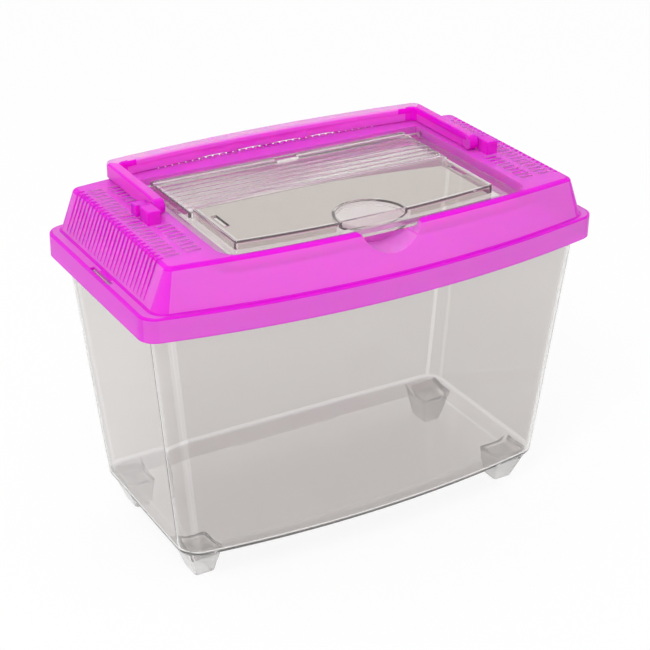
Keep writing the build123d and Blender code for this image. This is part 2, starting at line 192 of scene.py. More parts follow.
def rounded_path(loops: list[list[Vector]], rounds: list[float], steps: int = 4) -> list[list[Vector]]:
    """Rounds the corners of a wall that runs through loops of points.

    Args:
        loops: the loops, in order along the wall, with as many points each.
        rounds: how far from each loop its rounding starts, or 0 where the corner stays sharp.
        steps: how many steps each rounding takes.

    Returns:
        The loops with those of the roundings in place of the corners.
    """
    path = []
    for number, loop in enumerate(loops):
        reach = rounds[number]
        if reach <= 0 or number in (0, len(loops) - 1):
            path.append(loop)
            continue
        before, after = loops[number - 1], loops[number + 1]
        share_before = min(0.49, reach / mean_gap(loop, before))
        share_after = min(0.49, reach / mean_gap(loop, after))
        for step in range(steps + 1):
            t = step / steps
            ring = []
            for low, here, high in zip(before, loop, after):
                start = here.lerp(low, share_before)
                end = here.lerp(high, share_after)
                ring.append(start * (1 - t) ** 2 + here * (2 * t * (1 - t)) + end * t**2)
            path.append(ring)
    return path


def mean_gap(first: list[Vector], second: list[Vector]) -> float:
    """The mean distance between the points of two loops."""
    return sum((a - b).length for a, b in zip(first, second)) / len(first)


def mesh_object(name: str, mesh: bpy.types.Mesh) -> bpy.types.Object:
    """Puts a mesh in the scene as an object at the origin."""
    thing = bpy.data.objects.new(name, mesh)
    bpy.context.scene.collection.objects.link(thing)
    return thing


def loft(name: str, loops: list[list[Vector]]) -> bpy.types.Object:
    """A closed mesh through loops of points, with a flat face over the first loop and the last one."""
    bm = bmesh.new()
    rings = [[bm.verts.new(point) for point in loop] for loop in loops]
    count = len(loops[0])
    for low, high in zip(rings, rings[1:]):
        for i in range(count):
            j = (i + 1) % count
            bm.faces.new((low[i], low[j], high[j], high[i]))
    bm.faces.new(list(reversed(rings[0])))
    bm.faces.new(rings[-1])
    if bm.calc_volume(signed=True) < 0:
        bmesh.ops.reverse_faces(bm, faces=bm.faces)
    mesh = bpy.data.meshes.new(name)
    bm.to_mesh(mesh)
    bm.free()
    return mesh_object(name, mesh)


def plate(name: str, outline: Outline, low: float, high: float, edge: float = 0.0, flare: float = 0.0):
    """A plate with an outline, between two heights.

    Args:
        name: the object's name.
        outline: its outline at the lower height.
        low: the lower height.
        high: the upper height.
        edge: how far the upper edge is rounded.
        flare: how much further in the upper outline lies.

    Returns:
        The plate's object.
    """
    top = outline.inset(flare)
    loops = [outline.loop(low), top.loop(high)]
    if edge:
        loops.append(top.inset(2 * edge).loop(high))
        loops = rounded_path(loops, [0, edge, 0])
    return loft(name, loops)


def box(name: str, low: tuple[float, float, float], high: tuple[float, float, float]) -> bpy.types.Object:
    """A box between two corners, as a cutter or a blank."""
    bm = bmesh.new()
    bmesh.ops.create_cube(bm, size=1.0)
    size = Vector(high) - Vector(low)
    bmesh.ops.scale(bm, vec=size, verts=bm.verts)
    bmesh.ops.translate(bm, vec=(Vector(high) + Vector(low)) / 2, verts=bm.verts)
    mesh = bpy.data.meshes.new(name)
    bm.to_mesh(mesh)
    bm.free()
    return mesh_object(name, mesh)


def drum(name: str, centre: Vector, axis: str, radius: float, length: float, steps: int = 64, edge: float = 0.0):
    """A round bar about a centre along one axis, with its end edges rounded where asked.

    Args:
        name: the object's name.
        centre: the bar's middle.
        axis: "X", "Y" or "Z".
        radius: the bar's radius.
        length: its length.
        steps: how many sides it has.
        edge: the size of the rounding at its ends.

    Returns:
        The bar's object.
    """
    turn = {"X": Matrix.Rotation(math.pi / 2, 4, "Y"), "Y": Matrix.Rotation(-math.pi / 2, 4, "X")}
    place = Matrix.Translation(centre) @ turn.get(axis, Matrix.Identity(4))
    stations = [(radius - edge, -length / 2), (radius, -length / 2 + edge), (radius, length / 2 - edge)]
    stations.append((radius - edge, length / 2))
    if not edge:
        stations = [stations[1], stations[2]]
    loops = []
    for ring_radius, z in stations:
        ring = []
        for step in range(steps):
            angle = 2 * math.pi * step / steps
            ring.append(place @ Vector((ring_radius * math.cos(angle), ring_radius * math.sin(angle), z)))
        loops.append(ring)
    return loft(name, loops)


def prism(name: str, profile: list[tuple[float, float]], axis: str, low: float, high: float) -> bpy.types.Object:
    """A flat profile drawn out along X or Y.

    Args:
        name: the object's name.
        profile: the profile's corners, as (y, z) for X or (x, z) for Y, anticlockwise seen from the axis's tip
            for X, and from its foot for Y.
        axis: "X" or "Y".
        low: where it starts along the axis.
        high: where it ends.

    Returns:
        The prism's object.
    """
    if axis == "X":
        loops = [[Vector((at, a, b)) for a, b in profile] for at in (low, high)]
    else:
        loops = [[Vector((a, at, b)) for a, b in reversed(profile)] for at in (low, high)]
    return loft(name, loops)


def settle(thing: bpy.types.Object) -> bpy.types.Object:
    """Applies all modifiers of an object to its mesh."""
    graph = bpy.context.evaluated_depsgraph_get()
    mesh = bpy.data.meshes.new_from_object(thing.evaluated_get(graph))
    old = thing.data
    thing.modifiers.clear()
    thing.data = mesh
    bpy.data.meshes.remove(old)
    return thing


def combine(thing: bpy.types.Object, cut: Cut, *others: bpy.types.Object) -> bpy.types.Object:
    """Combines a closed mesh with others, which are used up."""
    for other in others:
        modifier = thing.modifiers.new(cut.name.lower(), "BOOLEAN")
        modifier.operation = cut.value
        modifier.solver = "EXACT"
        modifier.object = other
        settle(thing)
        mesh = other.data
        bpy.data.objects.remove(other)
        bpy.data.meshes.remove(mesh)
    return thing


def mirrored(thing: bpy.types.Object) -> bpy.types.Object:
    """A piece joined with its mirror image on the other short side, as one mesh."""
    bm = bmesh.new()
    bm.from_mesh(thing.data)
    copy = bmesh.ops.duplicate(bm, geom=bm.verts[:] + bm.edges[:] + bm.faces[:])["geom"]
    verts = [item for item in copy if isinstance(item, bmesh.types.BMVert)]
    faces = [item for item in copy if isinstance(item, bmesh.types.BMFace)]
    bmesh.ops.scale(bm, vec=(-1, 1, 1), verts=verts)
    bmesh.ops.reverse_faces(bm, faces=faces)
    bm.to_mesh(thing.data)
    bm.free()
    return thing


def soften(thing: bpy.types.Object, width: float, steps: int = 2, sharp: float = 35.0) -> bpy.types.Object:
    """Rounds the sharp edges of a finished moulding slightly and shades its curved walls smooth."""
    if width:
        modifier = thing.modifiers.new("edge", "BEVEL")
        modifier.width = width
        modifier.segments = steps
        modifier.limit_method = "ANGLE"
        modifier.angle_limit = math.radians(sharp)
        modifier.use_clamp_overlap = True
        settle(thing)
    thing.data.shade_smooth()
    thing.data.set_sharp_from_angle(angle=math.radians(sharp))
    even = thing.modifiers.new("even", "WEIGHTED_NORMAL")
    even.keep_sharp = True
    return settle(thing)


def mark_edges(thing: bpy.types.Object, flat: float, tight: float, small: float) -> None:
    """Stores how tightly each face turns against its neighbours, as a mask on which the finishes paint lighter glint
    lines on clear plastic and a deeper painted shade on tinted plastic.

    Args:
        thing: the finished piece.
        flat: the curvature per metre up to which a face counts as flat, with a value of 0.
        tight: the curvature from which it counts as a small fillet, with a value of 1.
        small: the area in square metres from which a face counts for less.
    """
    bm = bmesh.new()
    bm.from_mesh(thing.data)
    bm.normal_update()
    values = []
    for face in bm.faces:
        area = max(face.calc_area(), 1.0e-12)
        turn = 0.0
        for edge in face.edges:
            angle = edge.calc_face_angle(0.0)
            if angle < math.radians(50.0):
                turn = max(turn, angle * edge.calc_length() / area)
        values.append(min(1.0, max(0.0, (turn - flat) / (tight - flat))) * min(1.0, small / area))
    bm.free()
    thing.data.attributes.new("edge", "FLOAT", "FACE").data.foreach_set("value", values)
    # A second mask: milkier haze on clear plastic, and a paler colour painted as light on tinted plastic.
    thing.data.attributes.new("haze_and_painted_light", "FLOAT", "FACE")


def mark(thing: bpy.types.Object, name: str, least: float, most: float, where: Callable[[Vector], bool]) -> None:
    """Keeps a mark within bounds on the faces whose middles pass a test.

    Args:
        thing: the piece.
        name: which mark.
        least: the lowest value there.
        most: the highest value there.
        where: tells of a face's middle whether it is meant.
    """
    layer = thing.data.attributes[name]
    for face in thing.data.polygons:
        if where(face.center):
            layer.data[face.index].value = min(most, max(least, layer.data[face.index].value))


def dress(
    thing: bpy.types.Object,
    material: bpy.types.Material,
    flat: float = 80.0,
    tight: float = 160.0,
    small: float = 20.0 * MM * MM,
) -> None:
    """Gives a piece one material all over and marks its fillets."""
    mark_edges(thing, flat, tight, small)
    thing.data.materials.clear()
    thing.data.materials.append(material)
    for face in thing.data.polygons:
        face.material_index = 0


# ---- what repeats ----


class RowTree:
    """Geometry nodes that repeat a piece in a straight row, leaving out a stretch of it."""

    INPUTS = (
        ("Piece", "NodeSocketObject"),
        ("Count", "NodeSocketInt"),
        ("Start", "NodeSocketVector"),
        ("Step", "NodeSocketVector"),
        ("Gap low", "NodeSocketFloat"),
        ("Gap high", "NodeSocketFloat"),
        ("Material", "NodeSocketMaterial"),
    )

    def __init__(self) -> None:
        """Builds the tree."""
        self.tree = bpy.data.node_groups.new("row", "GeometryNodeTree")
        self.sockets: dict[str, str] = {}
        for name, kind in self.INPUTS:
            item = self.tree.interface.new_socket(name, in_out="INPUT", socket_type=kind)
            self.sockets[name] = item.identifier
        self.tree.interface.new_socket("Row", in_out="OUTPUT", socket_type="NodeSocketGeometry")
        self._wire()

    def _math(self, operation: str, a: object, b: object) -> bpy.types.NodeSocket:
        """One math node; its inputs are sockets or numbers."""
        node = self.tree.nodes.new("ShaderNodeMath")
        node.operation = operation
        for slot, value in zip(node.inputs, (a, b)):
            if isinstance(value, bpy.types.NodeSocket):
                self.tree.links.new(value, slot)
            else:
                slot.default_value = value
        return node.outputs[0]

    def _wire(self) -> None:
        """Puts the nodes in and links them."""
        nodes, links = self.tree.nodes, self.tree.links
        source = nodes.new("NodeGroupInput").outputs
        line = nodes.new("GeometryNodeMeshLine")
        line.mode = "OFFSET"
        links.new(source["Count"], line.inputs["Count"])
        links.new(source["Start"], line.inputs["Start Location"])
        links.new(source["Step"], line.inputs["Offset"])
        place = nodes.new("GeometryNodeInputPosition")
        split = nodes.new("ShaderNodeSeparateXYZ")
        links.new(place.outputs[0], split.inputs[0])
        above = self._math("GREATER_THAN", split.outputs["Y"], source["Gap low"])
        below = self._math("LESS_THAN", split.outputs["Y"], source["Gap high"])
        gap = nodes.new("GeometryNodeDeleteGeometry")
        links.new(line.outputs["Mesh"], gap.inputs["Geometry"])
        links.new(self._math("MULTIPLY", above, below), gap.inputs["Selection"])
        info = nodes.new("GeometryNodeObjectInfo")
        links.new(source["Piece"], info.inputs["Object"])
        spread = nodes.new("GeometryNodeInstanceOnPoints")
        links.new(gap.outputs[0], spread.inputs["Points"])
        links.new(info.outputs["Geometry"], spread.inputs["Instance"])
        real = nodes.new("GeometryNodeRealizeInstances")
        links.new(spread.outputs[0], real.inputs[0])
        paint = nodes.new("GeometryNodeSetMaterial")
        links.new(real.outputs[0], paint.inputs["Geometry"])
        links.new(source["Material"], paint.inputs["Material"])
        links.new(paint.outputs[0], nodes.new("NodeGroupOutput").inputs["Row"])

    def row(
        self,
        name: str,
        piece: bpy.types.Object,
        count: int,
        start: tuple[float, float, float],
        step: tuple[float, float, float],
        material: bpy.types.Material,
        gap: tuple[float, float] = (1.0, 1.0),
    ) -> bpy.types.Object:
        """A row of a piece as one plain mesh; the piece itself is used up.

        Args:
            name: the row's name.
            piece: what is repeated, modelled about the origin.
            count: how many points the row has.
            start: the first point.
            step: from one point to the next.
            material: what the row is made of.
            gap: the stretch along Y that stays empty.

        Returns:
            The row's object.
        """
        row = mesh_object(name, bpy.data.meshes.new(name))
        modifier = row.modifiers.new("row", "NODES")
        modifier.node_group = self.tree
        values = (piece, count, start, step, gap[0], gap[1], material)
        for (socket, _), value in zip(self.INPUTS, values):
            modifier[self.sockets[socket]] = value
        settle(row)
        mesh = piece.data
        bpy.data.objects.remove(piece)
        bpy.data.meshes.remove(mesh)
        return row


# ---- finishes ----


@dataclass(frozen=True)
class ClearPlastic:
    """Clear injection-moulded plastic: faint grey body, slight waves and haze from the flow in the mould, and a lighter
    colour painted on marked faces as painted glints and highlights.
    """

    name: str
    tint: tuple[float, float, float] = (0.83, 0.81, 0.795)
    # The lighter colour on faces marked as fillets or picked out: painted glint lines and painted highlights.
    painted_light_tint: tuple[float, float, float] = (1.0, 1.0, 1.0)
    transmission: float = 0.94
    frosted: float = 0.35
    ior: float = 1.49
    roughness: float = 0.0
    haze: float = 0.01
    wave_size: float = 9.0
    wave_height: float = 0.05
    density: float = 18.0

    def build(self) -> bpy.types.Material:
        """The material, with waves in its surface and uneven haze."""
        material, nodes, links, shader, output = blank_material(self.name)
        # Painted highlights: marked faces blend from the grey body to the lighter colour.
        tint = mark_blend(nodes, links, "edge", self.tint, self.painted_light_tint)
        links.new(tint, shader.inputs["Base Color"])
        haze_and_painted_light = nodes.new("ShaderNodeAttribute")
        haze_and_painted_light.attribute_name = "haze_and_painted_light"
        clear = nodes.new("ShaderNodeMapRange")
        clear.inputs["To Min"].default_value = self.transmission
        clear.inputs["To Max"].default_value = self.frosted
        links.new(haze_and_painted_light.outputs["Fac"], clear.inputs["Value"])
        links.new(clear.outputs[0], shader.inputs["Transmission Weight"])
        shader.inputs["IOR"].default_value = self.ior
        place = nodes.new("ShaderNodeTexCoord")
        cloud = noise(nodes, links, place, 14.0, 3.0)
        spread = nodes.new("ShaderNodeMapRange")
        spread.inputs["To Min"].default_value = self.roughness
        spread.inputs["To Max"].default_value = self.haze
        links.new(cloud.outputs["Fac"], spread.inputs["Value"])
        links.new(spread.outputs[0], shader.inputs["Roughness"])
        wave = noise(nodes, links, place, self.wave_size, 2.0)
        bump = nodes.new("ShaderNodeBump")
        bump.inputs["Strength"].default_value = self.wave_height
        bump.inputs["Distance"].default_value = 0.002
        links.new(wave.outputs["Fac"], bump.inputs["Height"])
        links.new(bump.outputs[0], shader.inputs["Normal"])
        body = nodes.new("ShaderNodeVolumeAbsorption")
        body.inputs["Color"].default_value = (0.80, 0.79, 0.76, 1.0)
        body.inputs["Density"].default_value = self.density
        links.new(body.outputs[0], output.inputs["Volume"])
        return material


@dataclass(frozen=True)
class TintedPlastic:
    """Milky see-through coloured plastic, with a deeper colour painted on fillets and marked faces as painted shade,
    and a paler colour painted on other marked faces as painted light.
    """

    name: str
    colour: tuple[float, float, float] = (0.97, 0.21, 0.82)
    deep: tuple[float, float, float] = (0.97, 0.17, 0.80)
    # The deeper colour on fillets and marked faces: painted shade.
    edge: tuple[float, float, float] = (0.97, 0.01, 0.82)
    # The paler colour on marked faces: painted light, for slots that light shows through and for recesses and tops made
    # lighter.
    pale: tuple[float, float, float] = (1.0, 0.62, 0.95)
    scatter: float = 1.0
    scatter_reach: tuple[float, float, float] = (0.006, 0.001, 0.004)
    transmission: float = 0.45
    ior: float = 1.36
    roughness: float = 0.2
    gloss: float = 0.03
    density: float = 800.0
    absorption: tuple[float, float, float] = (1.0, 0.0, 0.98)

    def build(self) -> bpy.types.Material:
        """The material, with flow clouds in its colour, a fine satin grain and absorption in its body."""
        material, nodes, links, shader, output = blank_material(self.name)
        shader.inputs["Transmission Weight"].default_value = self.transmission
        shader.inputs["IOR"].default_value = self.ior
        shader.inputs["Specular IOR Level"].default_value = self.gloss
        place = nodes.new("ShaderNodeTexCoord")
        cloud = noise(nodes, links, place, 11.0, 4.0)
        blend = nodes.new("ShaderNodeMix")
        blend.data_type = "RGBA"
        blend.inputs["A"].default_value = (*self.colour, 1.0)
        blend.inputs["B"].default_value = (*self.deep, 1.0)
        links.new(cloud.outputs["Fac"], blend.inputs["Factor"])
        # Painted shade and painted light: marked faces blend to the deeper or to the paler colour.
        deepened = mark_blend(nodes, links, "edge", blend.outputs["Result"], self.edge)
        links.new(mark_blend(nodes, links, "haze_and_painted_light", deepened, self.pale), shader.inputs["Base Color"])
        shader.inputs["Subsurface Weight"].default_value = self.scatter
        shader.inputs["Subsurface Radius"].default_value = self.scatter_reach
        shader.inputs["Subsurface Scale"].default_value = 1.0
        spread = nodes.new("ShaderNodeMapRange")
        spread.inputs["To Min"].default_value = self.roughness - 0.05
        spread.inputs["To Max"].default_value = self.roughness + 0.05
        links.new(cloud.outputs["Fac"], spread.inputs["Value"])
        links.new(spread.outputs[0], shader.inputs["Roughness"])
        grain = noise(nodes, links, place, 900.0, 2.0)
        bump = nodes.new("ShaderNodeBump")
        bump.inputs["Strength"].default_value = 0.04
        bump.inputs["Distance"].default_value = 0.0004
        links.new(grain.outputs["Fac"], bump.inputs["Height"])
        links.new(bump.outputs[0], shader.inputs["Normal"])
        body = nodes.new("ShaderNodeVolumeAbsorption")
        body.inputs["Color"].default_value = (*self.absorption, 1.0)
        body.inputs["Density"].default_value = self.density
        links.new(body.outputs[0], output.inputs["Volume"])
        return material


def blank_material(name: str) -> tuple:
    """A new node material.

    Returns:
        The material, its nodes, its links, its main shader and its output.
    """
    material = bpy.data.materials.new(name)
    material.use_nodes = True
    nodes, links = material.node_tree.nodes, material.node_tree.links
    nodes.clear()
    shader = nodes.new("ShaderNodeBsdfPrincipled")
    output = nodes.new("ShaderNodeOutputMaterial")
    links.new(shader.outputs[0], output.inputs["Surface"])
    return material, nodes, links, shader, output


def mark_blend(
    nodes, links, name: str, flat: object, marked: tuple[float, float, float]
) -> bpy.types.NodeSocket:
    """A colour that goes from that of the plain walls to that of the marked ones, by a mark on each face.

    Args:
        nodes: the material's nodes.
        links: its links.
        name: which mark.
        flat: the colour of the plain walls, or the socket that gives it.
        marked: the colour of the marked ones.

    Returns:
        The socket of the blended colour.
    """
    source = nodes.new("ShaderNodeAttribute")
    source.attribute_name = name
    blend = nodes.new("ShaderNodeMix")
    blend.data_type = "RGBA"
    low, high = blend.inputs["A"], blend.inputs["B"]
    if isinstance(flat, bpy.types.NodeSocket):
        links.new(flat, low)
    else:
        low.default_value = (*flat, 1.0)
    high.default_value = (*marked, 1.0)
    links.new(source.outputs["Fac"], blend.inputs["Factor"])
    return blend.outputs["Result"]


def noise(nodes, links, place, scale: float, detail: float) -> bpy.types.Node:
    """A noise texture on the piece's own coordinates."""
    texture = nodes.new("ShaderNodeTexNoise")
    texture.inputs["Scale"].default_value = scale
    texture.inputs["Detail"].default_value = detail
    links.new(place.outputs["Object"], texture.inputs["Vector"])
    return texture


# ---- the mouldings ----


@dataclass
class Shell:
    """Heights and outlines that the tank and the lid share."""

    floor_z: float = 18.4 * MM
    base_z: float = 21.4 * MM
    band_low: float = 171.0 * MM
    rim_step: float = 175.4 * MM
    ledge: float = 185.7 * MM
    plateau_z: float = 210.6 * MM
    seat_gap: float = 0.05 * MM
    band: Outline = field(default_factory=lambda: Outline.bowed(150.0 * MM, 68.3 * MM, 17.03 * MM, 10.7 * MM))
    plateau: Outline = field(default_factory=lambda: Outline.bowed(133.4 * MM, 63.8 * MM, 9.53 * MM, 3.5 * MM))
    tank_base: Outline = field(
        default_factory=lambda: Outline.bowed(126.0 * MM, 60.5 * MM, 11.0 * MM, 14.0 * MM, (59.0 * MM, 0.5 * MM))
    )
    dome: Outline = field(default_factory=lambda: Outline.bowed(142.5 * MM, 67.2 * MM, 15.8 * MM, 9.0 * MM))
    tank_band: Outline = field(default_factory=lambda: Outline.bowed(141.2 * MM, 66.0 * MM, 14.5 * MM, 15.0 * MM))
    lid_wall: float = 2.0 * MM


@dataclass
class Tank:
    """The clear tank: tapered bowed walls, a sunk floor, hollow feet and a stepped rim under the lid."""

    shell: Shell
    wall: float = 2.2 * MM
    foot_low: tuple[float, float, float, float] = (108.5 * MM, 42.0 * MM, 13.0 * MM, 16.0 * MM)
    foot_high: tuple[float, float, float, float] = (111.0 * MM, 44.5 * MM, 24.0 * MM, 25.0 * MM)
    foot_round: float = 2.0 * MM
    foot_wall: float = 2.4 * MM
    frost_top: float = 14.0 * MM

    def _floor(self) -> Outline:
        """The outline of the sunk floor panel."""
        return Outline.bowed(114.0 * MM, 43.0 * MM, 9.0 * MM, 12.0 * MM, (43.0 * MM, 0.5 * MM))

    def _wall_top(self) -> list[Vector]:
        """The wall's outer loop at the step of the rim."""
        shell = self.shell
        share = (shell.rim_step + self.wall - shell.base_z) / (shell.band_low - shell.base_z)
        low = shell.tank_base.loop(shell.base_z)
        high = shell.tank_band.loop(shell.band_low)
        return [a.lerp(b, share) for a, b in zip(low, high)]

    def _post(self, side_x: int, side_y: int, shrink: float, low: float) -> bpy.types.Object:
        """A tapered post at one corner of the base, from a height up into the base."""
        top = self.shell.base_z + shrink / 2
        loops = []
        grain = Grain(arc=6, corner=6, side=4)
        share = self.frost_top / top
        frosted = tuple(a + (b - a) * share for a, b in zip(self.foot_low, self.foot_high))
        for (x, y, size_x, size_y), z in ((self.foot_low, low), (frosted, self.frost_top), (self.foot_high, top)):
            half_x, half_y = size_x / 2 - shrink, size_y / 2 - shrink
            outline = Outline(half_x, -half_y, STRAIGHT, half_y, STRAIGHT, self.foot_round, self.foot_round)
            shift = Vector((side_x * x, side_y * y, 0))
            loops.append([point + shift for point in outline.loop(z, grain)])
        return loft("foot", loops)

    def _foot(self, side_x: int, side_y: int) -> bpy.types.Object:
        """One tapered foot, hollow from below, cut off inside the wall of the base."""
        foot = self._post(side_x, side_y, 0.0, 0.0)
        base = self.shell.tank_base
        outside = loft("outside", [base.inset(0.4 * MM).loop(-MM), base.inset(0.1 * MM).loop(self.shell.base_z + MM)])
        combine(foot, Cut.KEEP, outside)
        return combine(foot, Cut.TAKE, self._post(side_x, side_y, self.foot_wall, -MM))

    def build(self, clear: bpy.types.Material) -> bpy.types.Object:
        """Builds the tank as one closed moulding.

        Args:
            clear: the clear plastic.

        Returns:
            The tank's object.
        """
        shell = self.shell
        wall = self.wall
        floor = self._floor()
        rim = shell.band.inset(shell.lid_wall + 0.6 * MM)
        rim_top = shell.ledge - shell.lid_wall - shell.seat_gap
        outer_top = self._wall_top()
        step_low = [Vector((p.x, p.y, shell.rim_step)) for p in outer_top]
        inner_z = shell.rim_step + wall
        inner_top = [p - self._outward(p, outer_top[i - 1], outer_top[(i + 1) % len(outer_top)]) * wall
                     for i, p in enumerate(outer_top)]
        inner_top = [Vector((p.x, p.y, inner_z)) for p in inner_top]
        outside = [
            floor.inset(6 * MM).loop(shell.floor_z - wall),
            floor.loop(shell.floor_z - wall),
            shell.tank_base.loop(shell.base_z),
            step_low,
            rim.loop(shell.rim_step),
            rim.loop(rim_top),
            rim.inset(wall).loop(rim_top),
        ]
        inside = [
            rim.inset(wall).loop(rim_top + MM),
            rim.inset(wall).loop(inner_z),
            inner_top,
            shell.tank_base.inset(wall).loop(shell.base_z + wall / 2),
            floor.inset(wall / 2).loop(shell.floor_z),
            floor.inset(6 * MM).loop(shell.floor_z),
        ]
        tank = loft("tank_body", rounded_path(outside, [0, 2.5 * MM, 2.2 * MM, 0.8 * MM, 0.9 * MM, 0.8 * MM, 0]))
        for side_x in (-1, 1):
            for side_y in (-1, 1):
                combine(tank, Cut.ADD, self._foot(side_x, side_y))
        combine(tank, Cut.TAKE, loft("inside", rounded_path(inside, [0, 0.8 * MM, 1.2 * MM, 2.2 * MM, 2.5 * MM, 0])))
        soften(tank, 0.35 * MM)
        dress(tank, clear, 80.0, 160.0, 1.0)
        # Painted light: the feet take the lighter tint, fully above their frosted part so that their tops fade, and two
        # lines down each upright corner are painted highlights.
        mark(tank, "edge", 0.6, 0.6, lambda at: at.z < self.frost_top)
        mark(tank, "haze_and_painted_light", 0.5, 0.5, lambda at: at.z < self.frost_top)
        mark(tank, "edge", 1.0, 1.0, lambda at: self.frost_top < at.z < shell.floor_z - wall - 0.05 * MM)
        mark(tank, "edge", 1.0, 1.0, self._on_painted_corner_highlight)
        mark(tank, "haze_and_painted_light", 0.3, 0.3, lambda at: at.y > 45 * MM and shell.floor_z - wall < at.z < shell.base_z)
        return tank

    def _on_painted_corner_highlight(self, at: Vector) -> bool:
        """Whether a face's middle lies on one of the two painted highlight lines down each upright corner."""
        shell = self.shell
        share = (at.z - shell.base_z) / (shell.band_low - shell.base_z)
        half = shell.tank_base.half + (shell.tank_band.half - shell.tank_base.half) * share
        away = half - abs(at.x)
        upright = shell.base_z + 3 * MM < at.z < shell.band_low
        return upright and (0.3 * MM < away < 1.2 * MM or 6.5 * MM < away < 9 * MM)

    @staticmethod
    def _outward(point: Vector, before: Vector, after: Vector) -> Vector:
        """The level direction that points out of an outline at one of its points."""
        along = (after - before).normalized()
        return Vector((along.y, -along.x, 0.0)).normalized()


@dataclass
class Lid:
    """The tinted lid: skirt, ledge, vented dome, sunk hatch opening, finger recess, catches and bearings."""

    shell: Shell
    rows: RowTree
    opening_half: float = 100.6 * MM
    opening_rear: float = 55.6 * MM
    opening_round: float = 12.0 * MM
    rim_width: float = 2.3 * MM
    shelf_z: float = 203.5 * MM
    shelf_half: float = 91.0 * MM
    shelf_front: float = 58.5 * MM
    shelf_rear: float = 46.0 * MM
    notch_radius: float = 21.5 * MM
    notch_z: float = 218.0 * MM
    notch_back: float = -60.0 * MM
    notch_lip: float = 3.5 * MM
    vent_width: float = 2.3 * MM
    vent_pitch: float = 4.64 * MM
    vent_first: float = -50.5 * MM
    vent_count: int = 23
    vent_outer: tuple[float, float] = (119.1 * MM, 127.8 * MM)
    vent_inner: tuple[float, float] = (106.1 * MM, 115.2 * MM)
    comb_pitch: float = 4.72 * MM
    comb_count: int = 33
    comb_front: float = 67.2 * MM
    slope_pitch: float = 4.4 * MM
    slope_count: int = 25
    slope_width: float = 2.2 * MM
    slope_depth: float = 0.4 * MM
    axis_y: float = 4.0 * MM
    axis_z: float = 215.5 * MM
    pin_radius: float = 2.81 * MM

    def _front_plate(self, name: str, half: float, inset: float, rear: float, corner: float, low: float, high: float):
        """A plate whose front follows the plateau's front edge, moved inwards."""
        plateau = self.shell.plateau
        small = 0.3 * MM
        outline = Outline(half, plateau.front + inset, plateau.front_arc - inset, rear, STRAIGHT, max(corner, small), small)
        return plate(name, outline, low, high)

    def _blank(self) -> bpy.types.Object:
        """The outer form: skirt, ledge and dome as one solid."""
        shell = self.shell
        loops = [
            shell.band.inset(1.2 * MM).loop(shell.band_low),
            shell.band.loop(shell.band_low),
            shell.band.loop(shell.ledge),
            shell.dome.loop(shell.ledge),
            shell.plateau.loop(shell.plateau_z),
            shell.plateau.inset(6 * MM).loop(shell.plateau_z),
        ]
        return loft("lid_body", rounded_path(loops, [0, 0.7 * MM, 1.3 * MM, 0.9 * MM, 2.2 * MM, 0], 5))

    def _hollow(self) -> bpy.types.Object:
        """The space inside the dome, round the hatch opening's well and the finger recess."""
        shell = self.shell
        wall = shell.lid_wall
        low = shell.dome.inset(wall).loop(shell.ledge - wall - 0.1 * MM)
        roof_z = shell.plateau_z - wall
        share = (roof_z - shell.ledge) / (shell.plateau_z - shell.ledge)
        base = shell.dome.inset(wall).loop(shell.ledge)
        top = shell.plateau.inset(wall).loop(shell.plateau_z)
        roof = [a.lerp(b, share) for a, b in zip(base, top)]
        inner = shell.plateau.inset(8 * MM).loop(roof_z)
        hollow = loft("hollow", rounded_path([low, roof, inner], [0, 1.5 * MM, 0], 4))
        shelf_low = self.shelf_z - wall
        half = self.opening_half + wall
        well = box("well", (-half, -0.1, shelf_low), (half, self.opening_rear + wall, 0.25))
        return combine(hollow, Cut.TAKE, well, self._recess(self.notch_radius + wall, self.notch_back + wall))

    def _recess(self, radius: float, back: float) -> bpy.types.Object:
        """The round bar that shapes the finger recess, from its back wall out past the front."""
        front = -0.12
        return drum("recess", Vector((0, (back + front) / 2, self.notch_z)), "Y", radius, back - front, 96)

    def _notch(self) -> bpy.types.Object:
        """What the finger recess takes away: a round hollow whose lips roll over into the plateau."""
        top = self.shell.plateau_z
        lip = self.notch_lip
        reach = self.notch_radius + lip
        rise = self.notch_z - (top - lip)
        lip_x = math.sqrt(reach**2 - rise**2)
        swing = math.atan2(lip_x, rise)
        profile = []
        steps = 8
        for step in range(steps + 1):
            angle = math.pi / 2 + swing * step / steps
            profile.append((lip_x + lip * math.cos(angle), top - lip + lip * math.sin(angle)))
        arc_steps = 40
        for step in range(1, arc_steps):
            angle = -math.pi / 2 + swing - 2 * swing * step / arc_steps
            profile.append((self.notch_radius * math.cos(angle), self.notch_z + self.notch_radius * math.sin(angle)))
        for step in range(steps + 1):
            angle = math.pi / 2 - swing + swing * step / steps
            profile.append((-lip_x + lip * math.cos(angle), top - lip + lip * math.sin(angle)))
        profile.append((-lip_x, top + 5 * MM))
        profile.append((lip_x, top + 5 * MM))
        return prism("notch", profile, "Y", -0.12, self.notch_back)

    def _vents(self, tinted: bpy.types.Material) -> list[bpy.types.Object]:
        """Cutters for the two rows of slots on each side and the comb at the back."""
        shell = self.shell
        top = shell.plateau_z
        cuts = []
        for (low, high), gap in ((self.vent_outer, (1.0, 1.0)), (self.vent_inner, (-11 * MM, 15 * MM))):
            size = (high - low) / 2
            slot = box("slot", (-size, 0, -4 * MM), (size, self.vent_width, MM))
            start = ((low + high) / 2, self.vent_first, top)
            row = self.rows.row("vents", slot, self.vent_count, start, (0, self.vent_pitch, 0), tinted, gap=gap)
            cuts.append(mirrored(row))
        half = self.vent_width / 2
        tooth = box("tooth", (-half, 0, -3 * MM), (half, 8 * MM, MM))
        first = -(self.comb_count - 1) / 2 * self.comb_pitch
        start = (first, self.comb_front, top)
        cuts.append(self.rows.row("comb", tooth, self.comb_count, start, (self.comb_pitch, 0, 0), tinted))
        return cuts

